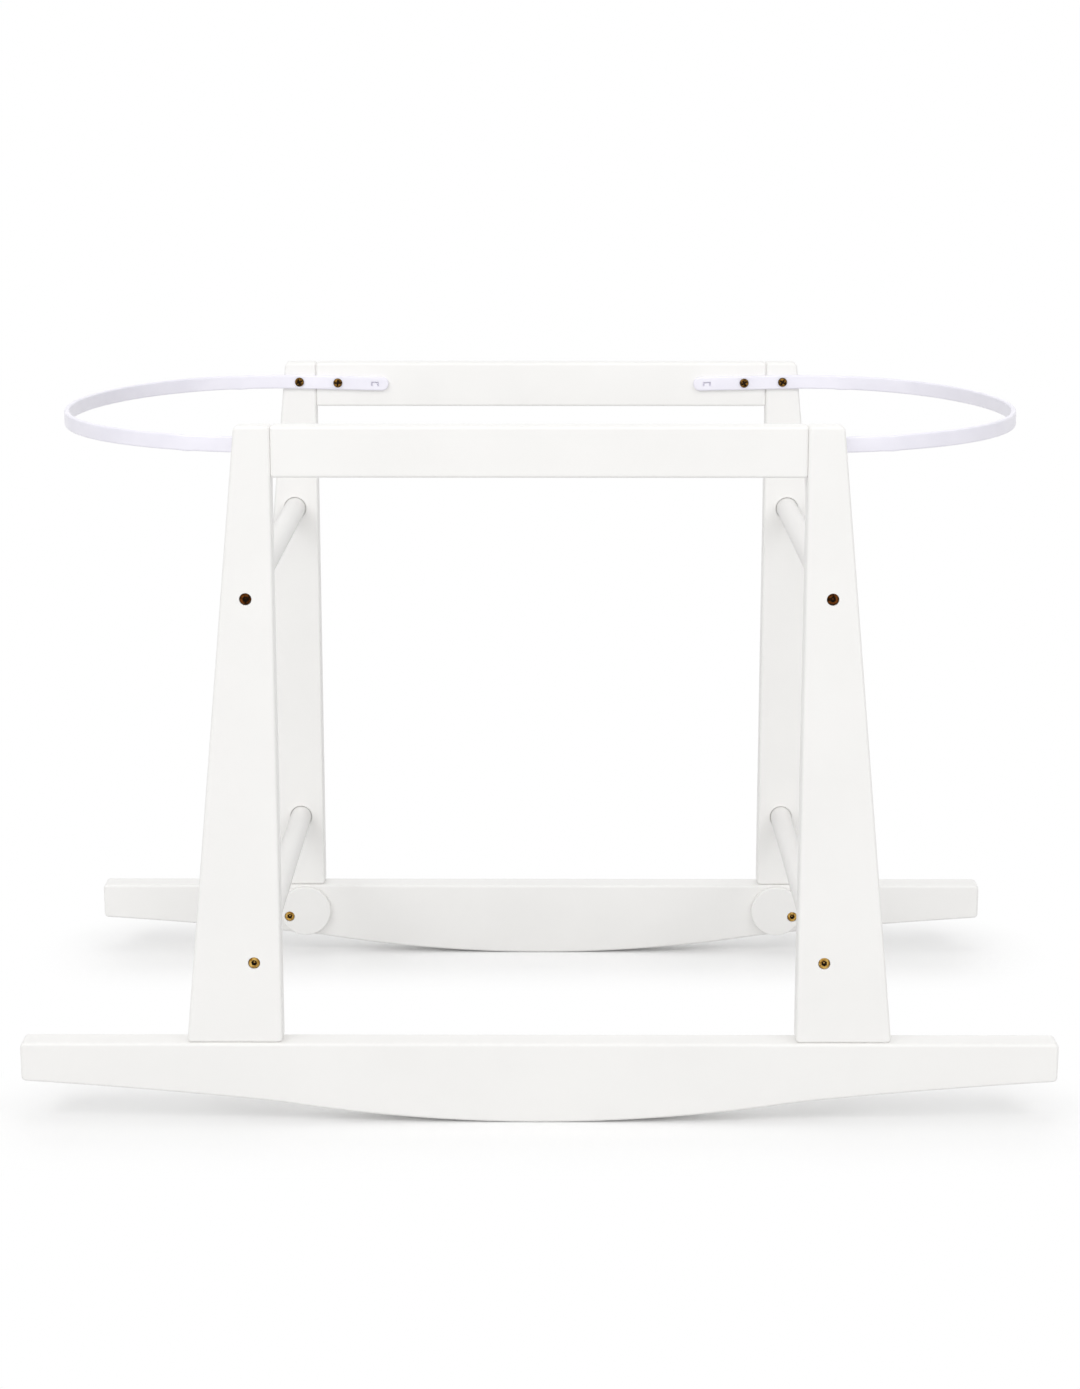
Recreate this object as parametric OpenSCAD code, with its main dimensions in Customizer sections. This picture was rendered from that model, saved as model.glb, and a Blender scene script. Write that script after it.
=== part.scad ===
// Rocking stand for a moses basket. Two side frames of painted boards are bolted to
// four round crossbars. A plastic hoop steadies the basket at each end, and off-centre
// discs on the rockers turn down to the floor to stop the rocking.
// Millimetres. X runs along the rockers, Y from front to back, Z up from the floor.

/* [Stand] */
// Height of the legs and rails above the floor
stand_h = 525; // [480:1:570]
// Depth over the outer faces of the two rockers
stand_d = 426; // [380:1:480]
// Clear width between the two legs of a frame
leg_gap = 383; // [350:1:410]
// Rounding of all board edges
edge_r = 2.3; // [1.6:0.1:3.2]

/* [Rockers] */
// Length of a rocker
rocker_len = 776; // [700:2:860]
// Height of a rocker at its middle
rocker_h = 62.5; // [58:0.5:72]
// Height of a rocker at its ends
rocker_end_h = 30; // [26:0.5:36]
// Thickness of a rocker
rocker_t = 22; // [20:0.5:28]
// Radius of the arc that rolls on the floor
rocking_r = 1185; // [1000:5:1600]
// Length of that arc, seen from the front
rocking_len = 360; // [300:2:380]
// Length of the shoulder between the arc and each tail
shoulder_len = 35; // [20:1:50]
// Radius of the hollow underside of each tail
tail_r = 4700; // [3500:50:9000]

/* [Legs and rails] */
// Width of a leg at its top
leg_top_w = 26; // [24:0.5:34]
// Width of a leg at its foot
leg_foot_w = 71.5; // [60:0.5:90]
// Thickness of the legs and rails
board_t = 18; // [17:0.5:20]
// Height of a rail
rail_h = 37; // [33:0.5:44]

/* [Crossbars] */
// Diameter of a crossbar
bar_d = 18; // [16:0.5:22]
// Distance of the crossbars from the inner edge of the legs
bar_inset = 20; // [15:0.5:24]
// Height of the upper crossbars above the floor
upper_bar_z = 400; // [340:1:430]
// Height of the lower crossbars above the floor
lower_bar_z = 125; // [110:1:160]
// Depth to which a crossbar is let into a leg
bar_seat = 4; // [2:0.5:5]

/* [Stops] */
// Diameter of a stop
stop_d = 44; // [42:0.5:50]
// Thickness of a stop
stop_t = 6; // [5.5:0.5:9]
// Rounding of the rim of a stop
stop_rim_r = 1; // [0.5:0.1:2]
// Distance from the middle of a stop to its screw
stop_throw = 15; // [12:0.25:15.5]
// Angle of the middle of a stop above its screw at rest
stop_rest_angle = 18.5; // [0:0.5:40]
// Height of the stop screws above the floor
stop_screw_z = 35.4; // [34:0.2:40]
// Distance of the stop screws from the inner edge of the legs
stop_inset = 31.2; // [30:0.2:34]
// Running gap between a stop and its rocker
stop_gap = 0.3; // [0.2:0.05:0.6]

/* [Hoops] */
// Length over both hoops
hoop_len = 740; // [700:2:780]
// Height of the strap
hoop_h = 11.6; // [10.5:0.1:14]
// Thickness of the strap
hoop_t = 4; // [3:0.25:5]
// Rounding of the strap edges
hoop_edge_r = 1.4; // [0.6:0.1:1.4]
// Height of the strap at the legs, below the top of the stand
hoop_drop = 16.2; // [14:0.2:20]
// Slope at which the hoops rise towards the ends
hoop_rise_angle = 1.3; // [0:0.1:2]
// Sag of the outer end of a hoop below that slope
hoop_sag = 4.2; // [0:0.2:8]
// Length of strap along the rail, from the inner edge of the leg to the tip
hoop_reach = 62; // [52:1:80]
// Length of strap that lies flat on the leg
hoop_seat = 16.5; // [15:0.5:20]
// Distance of the screw in the leg from the inner edge of the leg
hoop_leg_screw = 13.7; // [12:0.1:14.5]
// Distance of the screw in the rail from the inner edge of the leg
hoop_rail_screw = 18.9; // [18:0.1:24]
// Distance of the moulded pocket from the strap tip
pocket_reach = 11.5; // [9:0.5:16]
// Length of the moulded pocket
pocket_l = 6.5; // [4:0.5:8]
// Height of the moulded pocket
pocket_h = 3.6; // [2:0.2:4]
// Depth of the moulded pocket
pocket_depth = 2.4; // [0.8:0.1:2.6]

/* [Bolts and screws] */
// Head diameter of the bolts and stop screws
bolt_head_d = 8.4; // [8:0.2:10]
// Head height of the leg bolts
bolt_head_h = 3.4; // [3:0.2:5]
// Head height of the stop screws
stop_head_h = 2.6; // [2.2:0.1:2.8]
// Shank diameter of the bolts and stop screws
bolt_d = 6; // [5:0.5:6]
// Hexagon socket of the bolts and stop screws, across corners
socket_d = 4.6; // [3.5:0.1:5]
// Depth of the hexagon sockets
socket_depth = 2; // [1:0.1:2.1]
// Length of the leg bolts under the head
bolt_len = 28; // [24:1:34]
// Length of the stop screws under the head
stop_screw_len = 15; // [12:0.5:17]
// Depth of a bolt head below the surface round it
bolt_sink = 0.5; // [0.2:0.1:0.8]
// Outside diameter of the threaded inserts
insert_d = 9; // [8.5:0.5:10]
// Length of the inserts in the crossbars
bar_insert_len = 16; // [12:1:20]
// Length of the inserts in the rockers
stop_insert_len = 13; // [10:0.5:15]
// Head diameter of the hoop screws
screw_head_d = 7.6; // [6.5:0.1:8.5]
// Head height of the hoop screws
screw_head_h = 1.9; // [1.4:0.1:2.4]
// Shank diameter of the hoop screws
screw_d = 3.5; // [3:0.1:4]
// Length of the hoop screws under the head
screw_len = 15; // [12:0.5:17]
// Arm width of the cross recess
recess_w = 1.3; // [0.7:0.1:1.5]
// Span of the cross recess
recess_l = 5.6; // [3.5:0.1:6]
// Depth of the cross recess
recess_depth = 1.3; // [0.6:0.1:1.3]

/* [Wooden pins] */
// Diameter of the pins between rails and legs
rail_pin_d = 6; // [5:0.5:7]
// Length of the pins between rails and legs
rail_pin_len = 28; // [22:1:32]
// Distance between the two pins of a rail end
rail_pin_pitch = 18; // [16:0.5:20]
// Diameter of the pins between legs and rockers
leg_pin_d = 8; // [6:0.5:9]
// Length of the pins between legs and rockers
leg_pin_len = 36; // [28:1:40]
// Distance of the first leg pin from the inner edge of the leg
leg_pin_inset = 18; // [14:0.5:20]
// Distance between the two pins of a leg
leg_pin_pitch = 35; // [30:0.5:37]

/* [Clearances] */
// Gap round pins, inserts, threads and crossbar ends in their holes
fit_gap = 0.05; // [0.03:0.01:0.1]
// Gap between a stop's bore and its screw
turn_gap = 0.06; // [0.03:0.01:0.1]
// Gap round a bolt head in its recess, and round shanks in clearance holes
head_gap = 0.3; // [0.2:0.05:0.6]
// Space left at the end of a blind hole
end_gap = 1; // [0.5:0.1:2]

/* [Hidden] */
$fn = 64;

// Colours of the paint, the plastic, the metals and the bare wood
paint = "#F3F1ED";
plastic = "#EFEDF6";
bronze = "#5A4128";
brass = "#B88F45";
zinc = "#B9BBBD";
beech = "#D9B98A";

// How far a cutting shape runs past the surface that it cuts
overrun = 1;
// Facets of a rounded corner, of a rounded board end and of a strap tip
corner_steps = 3;
end_steps = 4;
tip_steps = 6;
// Facets of the rolling arc, of a shoulder, of a tail and of a hoop's bend
arc_steps = 35;
shoulder_steps = 4;
tail_steps = 5;
bend_steps = 48;
// Share of a rounding that is left at the corners of an end face
end_corner_share = 0.12;
// Share of the tip's radius at which a strap tip is cut off
tip_blunt_share = 0.2;
// Share of a strap tip's height that its edge rounding may take
tip_round_share = 0.9;
// Chamfer on bolt heads and shank ends, as a share of the shank diameter
chamfer_share = 0.08;
// Share of a screw head's height that is straight, below its dome
head_rim_share = 0.35;

// Faces of the boards on the back half of the stand
rocker_out_y = stand_d / 2;
rocker_in_y = rocker_out_y - rocker_t;
board_mid_y = rocker_out_y - rocker_t / 2;
board_out_y = board_mid_y + board_t / 2;
board_in_y = board_mid_y - board_t / 2;
// Inner edge of a leg, and the places of crossbars and stops on the right
leg_x = leg_gap / 2;
bar_x = leg_x + bar_inset;
stop_screw_x = leg_x + stop_inset;
stop_x = stop_screw_x - stop_throw * cos(stop_rest_angle);
stop_z = stop_screw_z + stop_throw * sin(stop_rest_angle);
rail_mid_z = stand_h - rail_h / 2;
hoop_z = stand_h - hoop_drop;

// Underside of a rocker: where its arc, shoulder and tail end, and their slopes
rocking_half = rocking_len / 2;
shoulder_x = rocking_half + shoulder_len;
tail_len = rocker_len / 2 - shoulder_x;
arc_rise = rocking_r - sqrt(rocking_r * rocking_r - rocking_half * rocking_half);
arc_slope = rocking_half / (rocking_r - arc_rise);
tail_fall = tail_len * tail_len / (2 * tail_r);
tail_rise = rocker_h - rocker_end_h - arc_rise - arc_slope * shoulder_len / 2 + tail_fall;
tail_slope = tail_rise / (shoulder_len / 2 + tail_len);
shoulder_rise = arc_rise + (arc_slope + tail_slope) * shoulder_len / 2;

// Seats of the bolt heads in the legs and of the screw heads in the stops
bolt_seat_y = board_out_y - bolt_sink - bolt_head_h;
stop_face_y = rocker_in_y - stop_gap - stop_t;
stop_seat_y = stop_face_y + bolt_sink + stop_head_h;
bar_end_y = board_in_y + bar_seat;
bar_hole_y = min(bolt_seat_y - bolt_len, bar_end_y - bar_insert_len) - end_gap;
strap_y = board_in_y - hoop_t / 2;

// Height of a rocker's underside above the floor, at a distance along it
function underside(x) =
    let (
        u = abs(x),
        past_arc = u - rocking_half,
        past_shoulder = u - shoulder_x
    )
    u < rocking_half ? rocking_r - sqrt(rocking_r * rocking_r - u * u)
    : u < shoulder_x ? arc_rise + arc_slope * past_arc
        - (arc_slope - tail_slope) * past_arc * past_arc / (2 * shoulder_len)
    : shoulder_rise + tail_slope * past_shoulder - past_shoulder * past_shoulder / (2 * tail_r);

// Outer edge of a leg at a height above the floor
function leg_outer(z) =
    leg_x + leg_foot_w + (leg_top_w - leg_foot_w) * (z - rocker_h) / (stand_h - rocker_h);

// Points round a rectangle from a to b on each axis, with rounded corners
function rounded_ring(a, b, r) = [
    for (corner = [0:3])
        for (step = [0:corner_steps])
            let (
                angle = 90 * (corner + step / corner_steps),
                middle_a = corner == 0 || corner == 3 ? a[1] - r : a[0] + r,
                middle_b = corner < 2 ? b[1] - r : b[0] + r
            )
            [middle_a + r * cos(angle), middle_b + r * sin(angle)]
];

// How far the rounding of an end draws a ring in, at a depth behind the end face
function end_inset(depth, r) =
    depth >= r ? 0
    : min(r - sqrt(r * r - (r - depth) * (r - depth)), r - r * end_corner_share);

// Places of the rings of a board: close in its rounded ends, even over each stretch
function board_places(breaks, counts, r) =
    let (
        first = breaks[0],
        last = breaks[len(breaks) - 1],
        depths = [for (step = [0:end_steps - 1]) r - r * cos(90 * step / end_steps)],
        inner = [
            for (i = [0:len(counts)])
                i == 0 ? first + r : i == len(counts) ? last - r : breaks[i]
        ]
    )
    concat(
        [for (depth = depths) first + depth],
        [
            for (i = [0:len(counts) - 1])
                for (step = [0:counts[i] - 1])
                    inner[i] + (inner[i + 1] - inner[i]) * step / counts[i]
        ],
        [last - r],
        [for (i = [end_steps - 1:-1:0]) last - depths[i]]
    );

// Rings of a board that runs along X, or along Z if it is upright
function board_rings(places, side_a, side_b, r, upright) = [
    for (place = places)
        let (
            inset = end_inset(min(place - places[0], places[len(places) - 1] - place), r),
            draw_in = [inset, -inset],
            ring = rounded_ring(side_a(place) + draw_in, side_b(place) + draw_in, r - inset)
        )
        [for (p = ring) upright ? [p[0], p[1], place] : [place, p[0], p[1]]]
];

// Stations of a hoop strap from the back tip to its middle: place, normal and half height
function half_hoop() =
    let (
        tip_r = hoop_h / 2,
        bend_x = leg_x + hoop_seat,
        bend_a = hoop_len / 2 - hoop_t / 2 - bend_x
    )
    concat(
        [
            for (step = [0:tip_steps])
                let (turn = 90 * step / tip_steps)
                [
                    leg_x - hoop_reach + tip_r - tip_r * cos(turn),
                    strap_y,
                    90,
                    max(tip_r * sin(turn), tip_r * tip_blunt_share)
                ]
        ],
        [
            for (step = [0:bend_steps / 2])
                let (turn = 90 - 180 * step / bend_steps)
                [
                    bend_x + bend_a * cos(turn),
                    strap_y * sin(turn),
                    atan2(bend_a * sin(turn), strap_y * cos(turn)),
                    tip_r
                ]
        ]
    );

// The same stations carried round to the front tip
function hoop_stations() =
    let (back = half_hoop())
    concat(back, [for (i = [len(back) - 2:-1:0]) [back[i][0], -back[i][1], -back[i][2], back[i][3]]]);

// Rings of a hoop strap, which sags more and more past the leg
function hoop_rings() = [
    for (s = hoop_stations())
        let (
            r = min(hoop_edge_r, s[3] * tip_round_share),
            free = max(0, s[0] - leg_x) / (hoop_len / 2 - leg_x)
        )
        [
            for (p = rounded_ring([-hoop_t / 2, hoop_t / 2], [-s[3], s[3]], r))
                [s[0] + p[0] * cos(s[2]), s[1] + p[0] * sin(s[2]), p[1] - hoop_sag * free * free]
        ]
];

// Solid through a row of rings
module loft(rings) {
    count = len(rings[0]);
    last = len(rings) - 1;
    sides = [
        for (row = [0:last - 1])
            for (col = [0:count - 1])
                let (
                    a = row * count + col,
                    b = row * count + (col + 1) % count
                )
                each [[a, b + count, b], [a, a + count, b + count]]
    ];
    first_cap = [for (col = [0:count - 1]) col];
    last_cap = [for (col = [0:count - 1]) last * count + count - 1 - col];
    polyhedron([for (ring = rings) each ring], concat([first_cap], sides, [last_cap]));
}

// Round rod along Y between two faces
module rod_y(d, from, to) {
    translate([0, from, 0])
        rotate([-90, 0, 0])
            cylinder(d = d, h = to - from);
}

// Round rod along X between two faces
module rod_x(d, from, to) {
    translate([from, 0, 0])
        rotate([0, 90, 0])
            cylinder(d = d, h = to - from);
}

// Carries a piece of the back right quarter to another quarter
module quarter(left, front) {
    mirror([left ? 1 : 0, 0, 0])
        mirror([0, front ? 1 : 0, 0])
            children();
}

// All four quarters
module quarters() {
    for (left = [false, true])
        for (front = [false, true])
            quarter(left, front)
                children();
}

// Slope of the hoops, about the inner edge of the leg
module hoop_slope() {
    translate([leg_x, 0, hoop_z])
        rotate([0, -hoop_rise_angle, 0])
            children();
}

// Places of the two pins of a rail end
module at_rail_pins() {
    for (side = [-1, 1])
        translate([0, board_mid_y, rail_mid_z + side * rail_pin_pitch / 2])
            children();
}

// Places of the two pins of a leg
module at_leg_pins() {
    for (place = [0, 1])
        translate([leg_x + leg_pin_inset + place * leg_pin_pitch, board_mid_y, rocker_h])
            children();
}

// Places of the two bolts of a leg
module at_bolts() {
    for (z = [upper_bar_z, lower_bar_z])
        translate([bar_x, 0, z])
            children();
}

// Holes of the rail pins and leg pins, with space at both ends
module pin_holes() {
    at_rail_pins()
        rod_x(
            rail_pin_d + 2 * fit_gap,
            leg_x - rail_pin_len / 2 - end_gap,
            leg_x + rail_pin_len / 2 + end_gap
        );
    at_leg_pins()
        cylinder(d = leg_pin_d + 2 * fit_gap, h = leg_pin_len + 2 * end_gap, center = true);
}

// Holes of the hoop screws, from the strap's inner face into the boards
module hoop_screw_holes(d) {
    hoop_slope()
        for (x = [hoop_leg_screw, -hoop_rail_screw])
            translate([x, 0, 0])
                rod_y(d, board_in_y - hoop_t - overrun, board_in_y - hoop_t + screw_len + end_gap);
}

// Rocker: flat top, rolling arc, shoulders and tails, drilled for leg pins and stop inserts
module rocker() {
    half = rocker_len / 2;
    places = board_places(
        [-half, -shoulder_x, -rocking_half, rocking_half, shoulder_x, half],
        [tail_steps, shoulder_steps, arc_steps, shoulder_steps, tail_steps],
        edge_r
    );
    across = function(x) [rocker_in_y, rocker_out_y];
    upward = function(x) [underside(x), rocker_h];
    difference() {
        loft(board_rings(places, across, upward, edge_r, false));
        for (left = [false, true])
            quarter(left, false) {
                pin_holes();
                translate([stop_screw_x, 0, stop_screw_z])
                    rod_y(
                        insert_d + 2 * fit_gap,
                        rocker_in_y - overrun,
                        rocker_in_y + stop_insert_len + end_gap
                    );
            }
    }
}

// Leg: straight inner edge, sloping outer edge, drilled for bolts, crossbars, pins and a screw
module leg() {
    places = board_places([rocker_h, stand_h], [1], edge_r);
    across = function(z) [leg_x, leg_outer(z)];
    through = function(z) [board_in_y, board_out_y];
    difference() {
        loft(board_rings(places, across, through, edge_r, true));
        at_bolts() {
            rod_y(bar_d + 2 * fit_gap, board_in_y - overrun, bar_end_y);
            rod_y(bolt_d + 2 * head_gap, board_in_y, board_out_y);
            rod_y(bolt_head_d + 2 * head_gap, bolt_seat_y, board_out_y + overrun);
        }
        pin_holes();
        hoop_screw_holes(screw_d + 2 * fit_gap);
    }
}

// Rail: plain board between the legs, drilled for pins and hoop screws
module rail() {
    places = board_places([-leg_x, leg_x], [1], edge_r);
    through = function(x) [board_in_y, board_out_y];
    upward = function(x) [stand_h - rail_h, stand_h];
    difference() {
        loft(board_rings(places, through, upward, edge_r, false));
        for (left = [false, true])
            quarter(left, false) {
                pin_holes();
                hoop_screw_holes(screw_d + 2 * fit_gap);
            }
    }
}

// Crossbar: dowel with a hole for a threaded insert in each end
module crossbar(z) {
    translate([bar_x, 0, z])
        difference() {
            rod_y(bar_d, -bar_end_y, bar_end_y);
            for (front = [false, true])
                quarter(false, front)
                    rod_y(insert_d + 2 * fit_gap, bar_hole_y, bar_end_y + overrun);
        }
}

// Stop: disc with a rounded rim, bored off centre for its screw
module stop() {
    rim = [
        for (step = [0:corner_steps])
            let (turn = 90 * step / corner_steps)
            [stop_d / 2 - stop_rim_r + stop_rim_r * sin(turn), stop_rim_r - stop_rim_r * cos(turn)]
    ];
    back_rim = [for (i = [corner_steps:-1:0]) [rim[i][0], stop_t - rim[i][1]]];
    difference() {
        translate([stop_x, stop_face_y, stop_z])
            rotate([-90, 0, 0])
                rotate_extrude()
                    polygon(concat([[0, 0]], rim, back_rim, [[0, stop_t]]));
        translate([stop_screw_x, 0, stop_screw_z]) {
            rod_y(bolt_d + 2 * turn_gap, stop_face_y - overrun, rocker_in_y);
            rod_y(bolt_head_d + 2 * head_gap, stop_face_y - overrun, stop_seat_y + stop_gap);
        }
    }
}

// Hoop: bent strap with rounded tips, screw holes and a moulded pocket near each tip
module hoop() {
    difference() {
        hoop_slope()
            translate([-leg_x, 0, 0])
                loft(hoop_rings());
        for (front = [false, true])
            quarter(false, front) {
                hoop_screw_holes(screw_d + 2 * head_gap);
                hoop_slope()
                    translate([
                        pocket_reach - hoop_reach - pocket_l / 2,
                        board_in_y - hoop_t - overrun,
                        -pocket_h / 2
                    ])
                        cube([pocket_l, pocket_depth + overrun, pocket_h]);
            }
    }
}

// Bolt with a hexagon socket, its head upward and its seat at zero
module socket_bolt(len, head_h) {
    chamfer = bolt_d * chamfer_share;
    difference() {
        rotate_extrude()
            polygon([
                [0, -len],
                [bolt_d / 2 - chamfer, -len],
                [bolt_d / 2, chamfer - len],
                [bolt_d / 2, 0],
                [bolt_head_d / 2, 0],
                [bolt_head_d / 2, head_h - chamfer],
                [bolt_head_d / 2 - chamfer, head_h],
                [0, head_h]
            ]);
        translate([0, 0, head_h - socket_depth])
            cylinder(d = socket_d, h = socket_depth + overrun, $fn = 6);
    }
}

// Wood screw with a low domed head and a cross recess, its head upward and its seat at zero
module cross_screw() {
    chamfer = screw_d * chamfer_share;
    head_r = screw_head_d / 2;
    rim_h = screw_head_h * head_rim_share;
    dome = [
        for (step = [0:end_steps])
            let (turn = 90 * step / end_steps)
            [head_r * cos(turn), rim_h + (screw_head_h - rim_h) * sin(turn)]
    ];
    difference() {
        rotate_extrude()
            polygon(concat(
                [
                    [0, -screw_len],
                    [chamfer, -screw_len],
                    [screw_d / 2, screw_d - screw_len],
                    [screw_d / 2, 0],
                    [head_r, 0]
                ],
                dome
            ));
        for (turn = [0, 90])
            rotate([0, 0, turn])
                translate([-recess_l / 2, -recess_w / 2, screw_head_h - recess_depth])
                    cube([recess_l, recess_w, recess_depth + overrun]);
    }
}

// Threaded insert: sleeve along Y
module insert(from, to) {
    difference() {
        rod_y(insert_d, from, to);
        rod_y(bolt_d + 2 * fit_gap, from - overrun, to + overrun);
    }
}

// Row of four bolts through the legs at one height
module bolt_row(z) {
    quarters()
        translate([bar_x, bolt_seat_y, z])
            rotate([-90, 0, 0])
                socket_bolt(bolt_len, bolt_head_h);
}

// The four screws of one frame's hoop ends
module hoop_screw_set(front) {
    for (left = [false, true])
        quarter(left, front)
            hoop_slope()
                for (x = [hoop_leg_screw, -hoop_rail_screw])
                    translate([x, board_in_y - hoop_t, 0])
                        rotate([90, 0, 0])
                            cross_screw();
}

module front_rocker() { color(paint) quarter(false, true) rocker(); }
module back_rocker() { color(paint) rocker(); }
module front_left_leg() { color(paint) quarter(true, true) leg(); }
module front_right_leg() { color(paint) quarter(false, true) leg(); }
module back_left_leg() { color(paint) quarter(true, false) leg(); }
module back_right_leg() { color(paint) leg(); }
module front_rail() { color(paint) quarter(false, true) rail(); }
module back_rail() { color(paint) rail(); }
module upper_left_crossbar() { color(paint) quarter(true, false) crossbar(upper_bar_z); }
module upper_right_crossbar() { color(paint) crossbar(upper_bar_z); }
module lower_left_crossbar() { color(paint) quarter(true, false) crossbar(lower_bar_z); }
module lower_right_crossbar() { color(paint) crossbar(lower_bar_z); }
module front_left_stop() { color(paint) quarter(true, true) stop(); }
module front_right_stop() { color(paint) quarter(false, true) stop(); }
module back_left_stop() { color(paint) quarter(true, false) stop(); }
module back_right_stop() { color(paint) stop(); }
module left_hoop() { color(plastic) quarter(true, false) hoop(); }
module right_hoop() { color(plastic) hoop(); }
module upper_bolts() { color(bronze) bolt_row(upper_bar_z); }
module lower_bolts() { color(brass) bolt_row(lower_bar_z); }
module crossbar_inserts() {
    color(zinc) quarters() at_bolts() insert(bar_end_y - bar_insert_len, bar_end_y);
}
module stop_screws() {
    color(brass)
        quarters()
            translate([stop_screw_x, stop_seat_y, stop_screw_z])
                rotate([90, 0, 0])
                    socket_bolt(stop_screw_len, stop_head_h);
}
module stop_inserts() {
    color(zinc)
        quarters()
            translate([stop_screw_x, 0, stop_screw_z])
                insert(rocker_in_y, rocker_in_y + stop_insert_len);
}
module front_hoop_screws() { color(bronze) hoop_screw_set(true); }
module back_hoop_screws() { color(bronze) hoop_screw_set(false); }
module rail_pins() {
    color(beech)
        quarters()
            at_rail_pins()
                rod_x(rail_pin_d, leg_x - rail_pin_len / 2, leg_x + rail_pin_len / 2);
}
module leg_pins() {
    color(beech)
        quarters()
            at_leg_pins()
                cylinder(d = leg_pin_d, h = leg_pin_len, center = true);
}

front_rocker();
back_rocker();
front_left_leg();
front_right_leg();
back_left_leg();
back_right_leg();
front_rail();
back_rail();
upper_left_crossbar();
upper_right_crossbar();
lower_left_crossbar();
lower_right_crossbar();
front_left_stop();
front_right_stop();
back_left_stop();
back_right_stop();
left_hoop();
right_hoop();
upper_bolts();
lower_bolts();
crossbar_inserts();
stop_screws();
stop_inserts();
front_hoop_screws();
back_hoop_screws();
rail_pins();
leg_pins();
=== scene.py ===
import math

import bmesh
import bpy
from mathutils import Matrix, Vector


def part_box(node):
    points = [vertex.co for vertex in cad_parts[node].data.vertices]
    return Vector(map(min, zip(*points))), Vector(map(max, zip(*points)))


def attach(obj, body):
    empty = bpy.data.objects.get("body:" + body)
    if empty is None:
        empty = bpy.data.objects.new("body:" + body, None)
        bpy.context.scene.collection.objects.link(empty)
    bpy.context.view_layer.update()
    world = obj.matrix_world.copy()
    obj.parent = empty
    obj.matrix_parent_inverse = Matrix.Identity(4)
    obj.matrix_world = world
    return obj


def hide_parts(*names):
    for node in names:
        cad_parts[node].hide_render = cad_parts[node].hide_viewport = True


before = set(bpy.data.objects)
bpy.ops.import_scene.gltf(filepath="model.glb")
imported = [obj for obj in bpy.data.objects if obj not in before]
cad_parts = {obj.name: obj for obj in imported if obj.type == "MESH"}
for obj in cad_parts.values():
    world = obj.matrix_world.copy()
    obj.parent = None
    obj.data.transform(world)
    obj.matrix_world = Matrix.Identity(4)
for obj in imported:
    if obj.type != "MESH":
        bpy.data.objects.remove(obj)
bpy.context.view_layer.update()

# Rockers: two beech boards that the stand rolls on, one under each frame. Each is sawn with a flat top, a
# round belly and slightly hollow tails, routed round all its edges and sprayed with satin white paint.
EDGE_ROUND, EDGE_STEPS = 0.0023, 5
CORNER_ROUND, CORNER_STEPS, CORNER_ANGLE = 0.0034, 6, 1.0
ROCKER_H, ROCKER_END_H, ROCKER_HALF, ROCKER_CUTS = 0.0625, 0.030, 0.388, 96
ROLL_R, ROLL_HALF, SHOULDER, TAIL_R = 1.185, 0.180, 0.035, 4.7
SHARP_ANGLE, SMOOTH_ANGLE = math.radians(30), math.radians(35)
NEAR = 1e-5
PAINT_LOW, PAINT_HIGH = "#F7F6F4", "#F9F8F6"
# Grain streaks are drawn out to about 70 mm along boards and dowels
GRAIN_DRAW = 0.017


def linear(colour):
    """sRGB hex to linear red, green, blue and alpha."""
    parts = [int(colour[i : i + 2], 16) / 255 for i in (1, 3, 5)]
    return [c / 12.92 if c <= 0.04045 else ((c + 0.055) / 1.055) ** 2.4 for c in parts] + [1.0]


def add_node(tree, kind, settings=(), links=()):
    """Adds a node, sets its values or sockets and links its sockets."""
    node = tree.nodes.new(kind)
    for key, value in dict(settings).items():
        if isinstance(key, str) and hasattr(node, key):
            setattr(node, key, value)
        else:
            node.inputs[key].default_value = value
    for key, source in dict(links).items():
        tree.links.new(source, node.inputs[key])
    return node


def blank_material(name):
    """A new material with its node tree, its shader and the place that its patterns read."""
    material = bpy.data.materials.new(name)
    material.use_nodes = True
    tree = material.node_tree
    place = add_node(tree, "ShaderNodeTexCoord").outputs["Object"]
    return material, tree, tree.nodes["Principled BSDF"], place


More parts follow.
